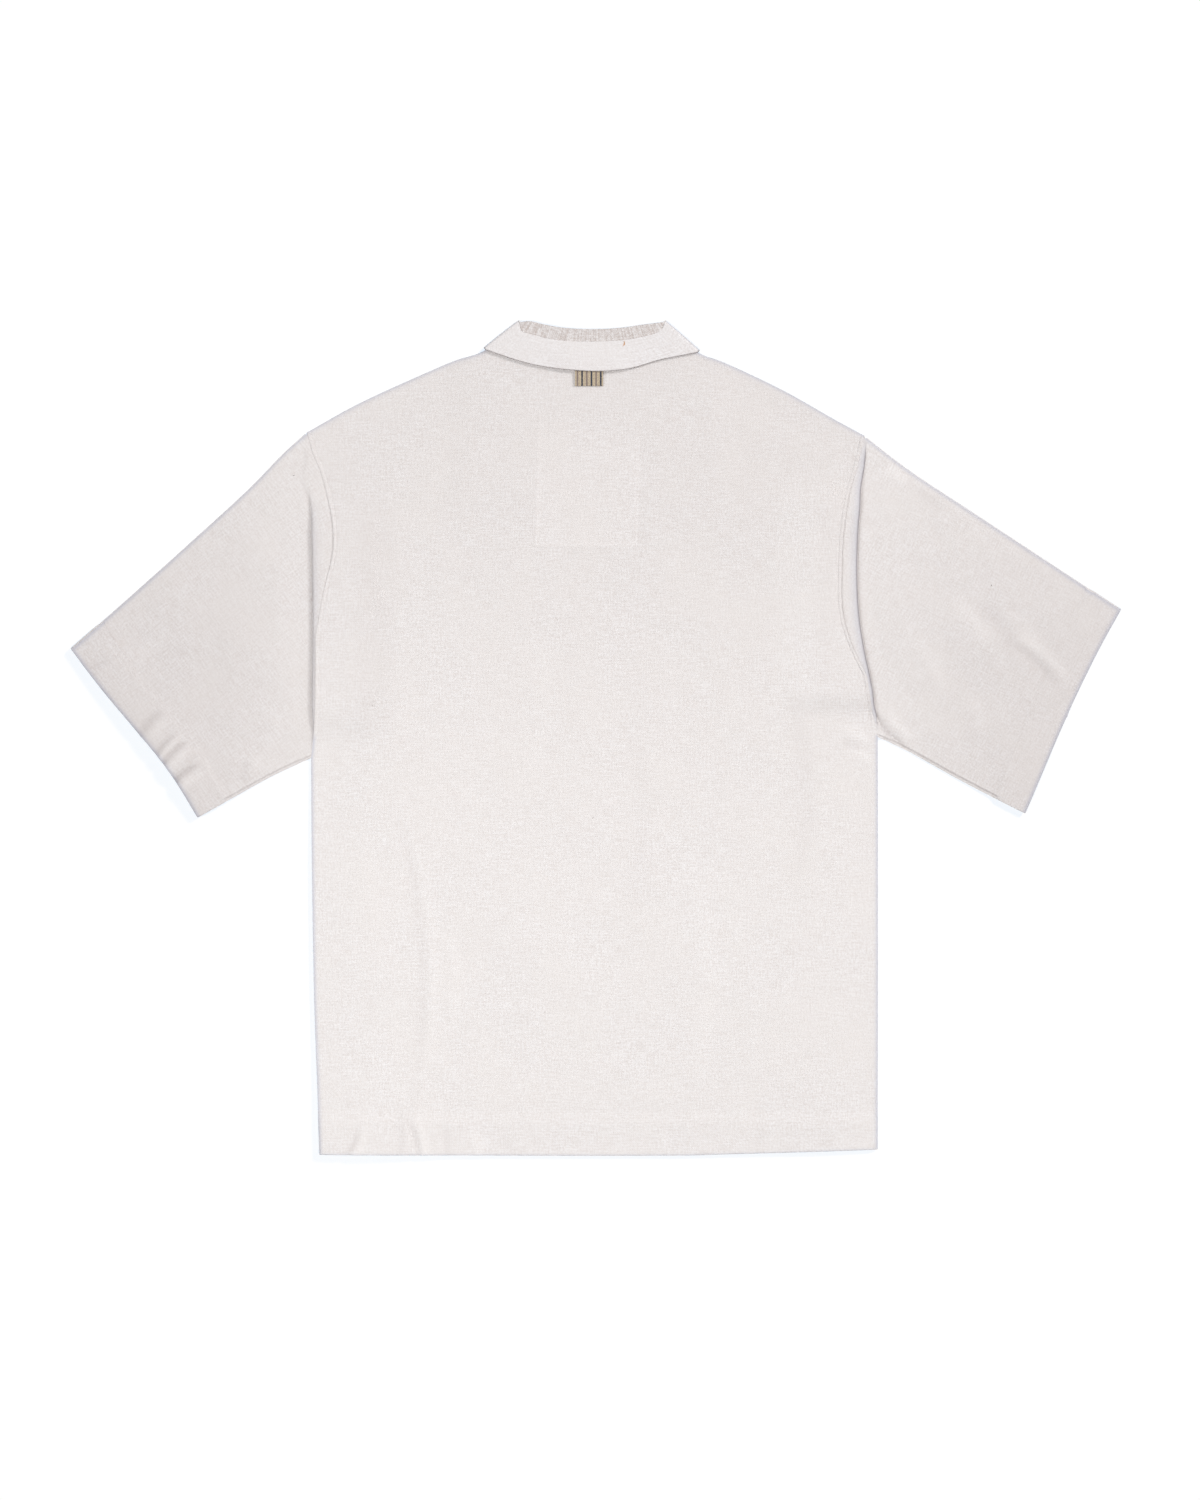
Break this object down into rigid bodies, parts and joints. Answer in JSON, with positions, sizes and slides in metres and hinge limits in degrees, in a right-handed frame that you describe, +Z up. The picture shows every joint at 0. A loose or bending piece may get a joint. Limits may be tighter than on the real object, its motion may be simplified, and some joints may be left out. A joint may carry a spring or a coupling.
{
  "type": "short-sleeved collared shirt",
  "caption": "Boxy pullover shirt with a turned-down collar and wide short sleeves, laid flat face down with its back showing.",
  "frame": {"origin": "on the surface that the shirt lies on, under the middle of its outline", "axes": "+X towards the sleeve that is on the right as seen from above, +Y towards the collar, +Z up"},
  "size_m": [0.9963, 0.7925, 0.0076],
  "materials": {
    "shirt_cloth": "matte plain weave, washed linen and cotton",
    "stand_linen": "matte coarse heathered linen",
    "striped_tape": "matte woven cotton tape with stripes"
  },
  "bodies": {
    "root": {"front": "shirt_cloth", "back": "shirt_cloth", "sleeve_left": "shirt_cloth", "sleeve_right": "shirt_cloth", "collar_stand": "stand_linen", "collar_leaf": "shirt_cloth", "neck_facing": "shirt_cloth", "hang_tab": "striped_tape"}
  },
  "joints": []
}
